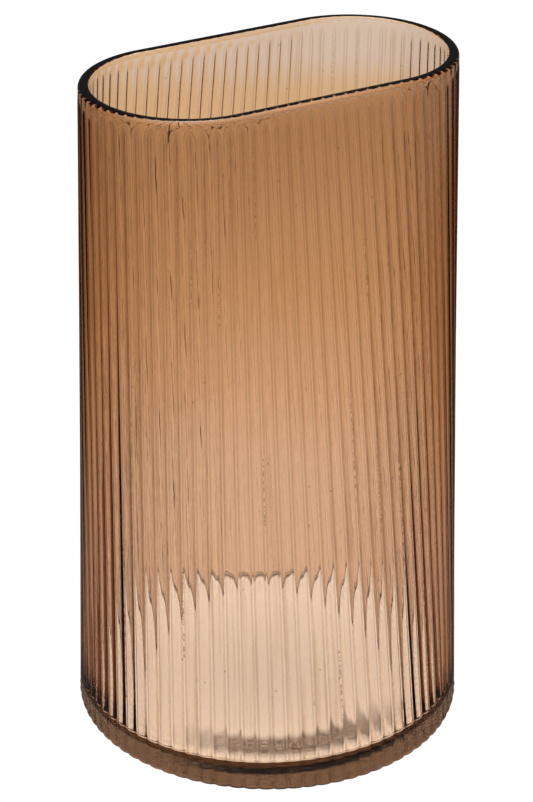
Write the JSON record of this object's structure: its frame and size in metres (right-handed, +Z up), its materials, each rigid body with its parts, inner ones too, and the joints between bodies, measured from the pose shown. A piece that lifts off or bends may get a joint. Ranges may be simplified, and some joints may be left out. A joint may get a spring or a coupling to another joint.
{
  "type": "ribbed glass vase",
  "caption": "Tall ribbed amber-brown glass vase: a round heavy foot lofts up into a flattened, straight-sided oval mouth with a smooth fire-polished lip.",
  "frame": {"origin": "middle of the underside, on the surface that the vase stands on", "axes": "+Z up through the mouth, +X along the long way of the oval mouth, +Y across it"},
  "size_m": [0.1498, 0.1494, 0.263],
  "materials": {
    "wall_glass": "clear amber-brown blown glass, mould-ribbed outside, smooth inside",
    "lip_glass": "clear amber-brown glass, fire polished round and smooth",
    "base_glass": "thick clear amber-brown glass, polished",
    "foot_glass": "clear amber-brown glass, ribbed edge, ground flat below"
  },
  "bodies": {
    "root": {"ribbed_wall": "wall_glass", "rim_lip": "lip_glass", "base_slab": "base_glass", "foot_ring": "foot_glass"}
  },
  "joints": []
}
